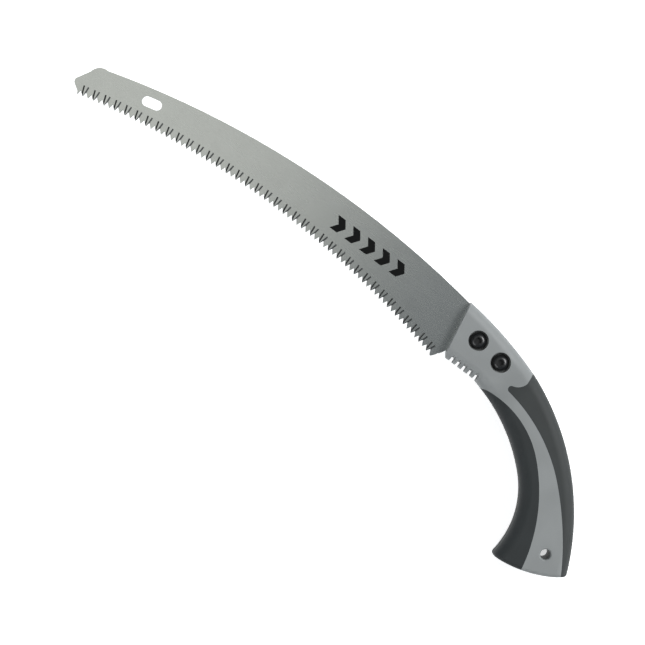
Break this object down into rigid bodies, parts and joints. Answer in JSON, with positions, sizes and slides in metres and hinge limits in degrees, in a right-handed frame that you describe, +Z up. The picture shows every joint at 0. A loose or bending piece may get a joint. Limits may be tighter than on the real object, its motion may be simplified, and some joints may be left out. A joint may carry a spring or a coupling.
{
  "type": "pull saw",
  "caption": "Curved pull saw with a fixed steel blade, hang slot, bolted ferrule with finger grooves and a pistol-shaped handle with soft grips and a lanyard hole.",
  "frame": {"origin": "centre of the bounding box in X and Y, on the surface that the saw lies on (bottom of the box)", "axes": "+X from the blade's toe to the handle along the straight line through the first and last tooth tips; +Y from the teeth to the spine; +Z up, out of the side with the bolt heads"},
  "size_m": [0.4716, 0.1352, 0.025],
  "materials": {
    "blade_steel": "satin ground carbon steel with darker, coarser ground tooth facets",
    "handle_plastic": "silver-grey moulded plastic with a fine satin texture",
    "soft_grip": "charcoal soft overmould, matt with a faint sheen",
    "black_steel": "black oxide steel, half gloss",
    "zinc_steel": "zinc plated"
  },
  "bodies": {
    "root": {"blade": "blade_steel", "shell_upper": "handle_plastic", "shell_lower": "handle_plastic", "front_grip": "soft_grip", "back_grip": "soft_grip", "front_bolt": "black_steel", "rear_bolt": "black_steel", "front_washer": "black_steel", "rear_washer": "black_steel", "front_nut": "zinc_steel", "rear_nut": "zinc_steel"}
  },
  "joints": []
}
